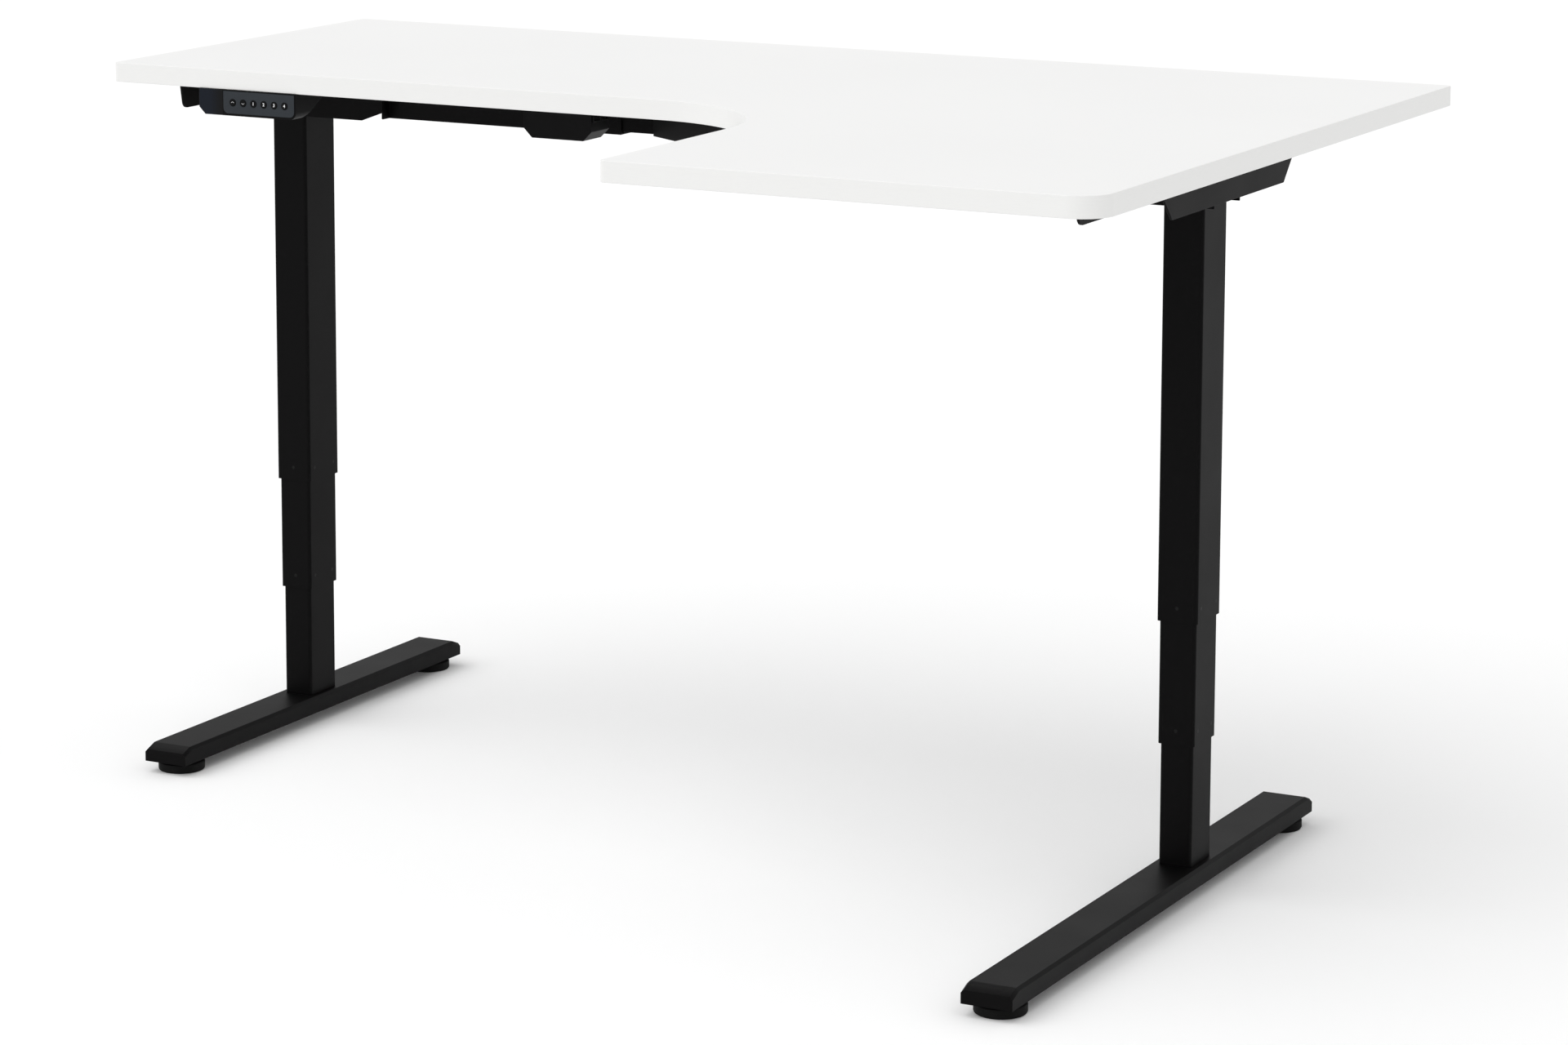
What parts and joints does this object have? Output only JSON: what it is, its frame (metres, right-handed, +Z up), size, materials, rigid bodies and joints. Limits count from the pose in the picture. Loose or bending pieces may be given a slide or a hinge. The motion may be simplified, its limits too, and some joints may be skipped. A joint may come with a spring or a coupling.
{
  "type": "height adjustable standing desk",
  "caption": "L-shaped standing desk with a white top on two black motor-driven telescopic columns, T feet, crossbeam, return arm and a button handset.",
  "frame": {"origin": "on the floor, under the middle of the rectangle round the desk's outline", "axes": "+X along the main arm to the right, +Y to the back edge, +Z up"},
  "size_m": [1.6, 1.1, 0.91],
  "materials": {
    "white_laminate": "satin melamine on chipboard",
    "white_edge_band": "satin",
    "black_powder_coat": "fine satin powder coat",
    "glide_plastic": "matte",
    "nut_brass": "machined",
    "screw_steel": "oiled",
    "fastener_steel": "black zinc",
    "gearbox_casting": "as cast",
    "motor_steel": "zinc plated",
    "pad_plastic": "matte",
    "black_plastic": "fine grain",
    "circuit_board": "solder mask",
    "inlet_plastic": "satin",
    "handset_panel": "satin",
    "display_window": "gloss",
    "button_plastic": "satin"
  },
  "bodies": {
    "base_left": {"left_foot": "black_powder_coat", "left_foot_bolts": "fastener_steel", "left_inner_tube": "black_powder_coat", "left_inner_glide": "glide_plastic", "left_inner_nut": "nut_brass"},
    "left_middle": {"left_middle_tube": "black_powder_coat", "left_middle_glide": "glide_plastic", "left_middle_nut": "nut_brass"},
    "left_middle_spindle": {"left_middle_screw": "screw_steel"},
    "left_drive_spindle": {"left_drive_screw": "screw_steel"},
    "base_right": {"right_foot": "black_powder_coat", "right_foot_bolts": "fastener_steel", "right_inner_tube": "black_powder_coat", "right_inner_glide": "glide_plastic", "right_inner_nut": "nut_brass"},
    "right_middle": {"right_middle_tube": "black_powder_coat", "right_middle_glide": "glide_plastic", "right_middle_nut": "nut_brass"},
    "right_middle_spindle": {"right_middle_screw": "screw_steel"},
    "right_drive_spindle": {"right_drive_screw": "screw_steel"},
    "upper": {"left_outer_tube": "black_powder_coat", "left_outer_glide": "glide_plastic", "left_gearbox": "gearbox_casting", "left_motor": "motor_steel", "left_head": "black_powder_coat", "left_side_bracket": "black_powder_coat", "right_outer_tube": "black_powder_coat", "right_outer_glide": "glide_plastic", "right_gearbox": "gearbox_casting", "right_motor": "motor_steel", "right_head": "black_powder_coat", "right_side_bracket": "black_powder_coat", "crossbeam_sleeve": "black_powder_coat", "crossbeam_bar": "black_powder_coat", "side_rail": "black_powder_coat", "front_bracket": "black_powder_coat", "return_arm": "black_powder_coat", "control_box": "black_plastic", "control_lid": "black_plastic", "control_board": "circuit_board", "mains_inlet": "inlet_plastic", "handset_body": "black_plastic", "handset_face": "handset_panel", "handset_display": "display_window", "handset_board": "circuit_board", "desktop_screws": "fastener_steel", "frame_bolts": "fastener_steel", "desktop_board": "white_laminate", "edge_band": "white_edge_band"},
    "button_up": {"button_up": "button_plastic"},
    "button_down": {"button_down": "button_plastic"},
    "button_memory_1": {"button_memory_1": "button_plastic"},
    "button_memory_2": {"button_memory_2": "button_plastic"},
    "button_memory_3": {"button_memory_3": "button_plastic"},
    "button_memory_4": {"button_memory_4": "button_plastic"},
    "left_front_pad": {"left_front_pad": "pad_plastic"},
    "left_rear_pad": {"left_rear_pad": "pad_plastic"},
    "right_front_pad": {"right_front_pad": "pad_plastic"},
    "right_rear_pad": {"right_rear_pad": "pad_plastic"}
  },
  "joints": [
    {"name": "left_lower_lift", "type": "slide", "parent": "base_left", "child": "left_middle", "axis": [0, 0, 1], "range_m": [-0.14, 0.185]},
    {"name": "left_upper_lift", "type": "slide", "parent": "left_middle", "child": "upper", "axis": [0, 0, 1], "range_m": [-0.14, 0.185]},
    {"name": "right_upper_lift", "type": "slide", "parent": "upper", "child": "right_middle", "axis": [0, 0, -1], "range_m": [-0.14, 0.185]},
    {"name": "right_lower_lift", "type": "slide", "parent": "right_middle", "child": "base_right", "axis": [0, 0, -1], "range_m": [-0.14, 0.185]},
    {"name": "press_up", "type": "slide", "parent": "upper", "child": "button_up", "axis": [0, 1, 0], "range_m": [0, 0.0008], "stiffness_N_per_m": 500},
    {"name": "press_down", "type": "slide", "parent": "upper", "child": "button_down", "axis": [0, 1, 0], "range_m": [0, 0.0008], "stiffness_N_per_m": 500},
    {"name": "press_memory_1", "type": "slide", "parent": "upper", "child": "button_memory_1", "axis": [0, 1, 0], "range_m": [0, 0.0008], "stiffness_N_per_m": 500},
    {"name": "press_memory_2", "type": "slide", "parent": "upper", "child": "button_memory_2", "axis": [0, 1, 0], "range_m": [0, 0.0008], "stiffness_N_per_m": 500},
    {"name": "press_memory_3", "type": "slide", "parent": "upper", "child": "button_memory_3", "axis": [0, 1, 0], "range_m": [0, 0.0008], "stiffness_N_per_m": 500},
    {"name": "press_memory_4", "type": "slide", "parent": "upper", "child": "button_memory_4", "axis": [0, 1, 0], "range_m": [0, 0.0008], "stiffness_N_per_m": 500},
    {"name": "left_middle_spin", "type": "hinge", "parent": "left_middle", "child": "left_middle_spindle", "pos_m": [-0.679, 0.21, 0.6], "axis": [0, 0, 1], "range_deg": [-6301, 8326]},
    {"name": "left_drive_spin", "type": "hinge", "parent": "upper", "child": "left_drive_spindle", "pos_m": [-0.679, 0.21, 0.6], "axis": [0, 0, 1], "range_deg": [-6301, 8326]},
    {"name": "right_middle_spin", "type": "hinge", "parent": "right_middle", "child": "right_middle_spindle", "pos_m": [0.679, 0.009, 0.6], "axis": [0, 0, 1], "range_deg": [-6301, 8326]},
    {"name": "right_drive_spin", "type": "hinge", "parent": "upper", "child": "right_drive_spindle", "pos_m": [0.679, 0.009, 0.6], "axis": [0, 0, 1], "range_deg": [-6301, 8326]},
    {"name": "left_front_pad_turn", "type": "hinge", "parent": "base_left", "child": "left_front_pad", "pos_m": [-0.679, -0.097, 0.0065], "axis": [0, 0, 1], "continuous": true},
    {"name": "left_rear_pad_turn", "type": "hinge", "parent": "base_left", "child": "left_rear_pad", "pos_m": [-0.679, 0.511, 0.0065], "axis": [0, 0, 1], "continuous": true},
    {"name": "right_front_pad_turn", "type": "hinge", "parent": "base_right", "child": "right_front_pad", "pos_m": [0.679, -0.511, 0.0065], "axis": [0, 0, 1], "continuous": true},
    {"name": "right_rear_pad_turn", "type": "hinge", "parent": "base_right", "child": "right_rear_pad", "pos_m": [0.679, 0.312, 0.0065], "axis": [0, 0, 1], "continuous": true}
  ],
  "couplings": [
    {"joint": "left_upper_lift", "follows": "left_lower_lift", "ratio": 1},
    {"joint": "right_upper_lift", "follows": "left_lower_lift", "ratio": 1},
    {"joint": "right_lower_lift", "follows": "left_lower_lift", "ratio": 1},
    {"joint": "left_middle_spin", "follows": "left_lower_lift", "rad_per_m": 785.4},
    {"joint": "left_drive_spin", "follows": "left_lower_lift", "rad_per_m": 785.4},
    {"joint": "right_middle_spin", "follows": "left_lower_lift", "rad_per_m": 785.4},
    {"joint": "right_drive_spin", "follows": "left_lower_lift", "rad_per_m": 785.4}
  ]
}
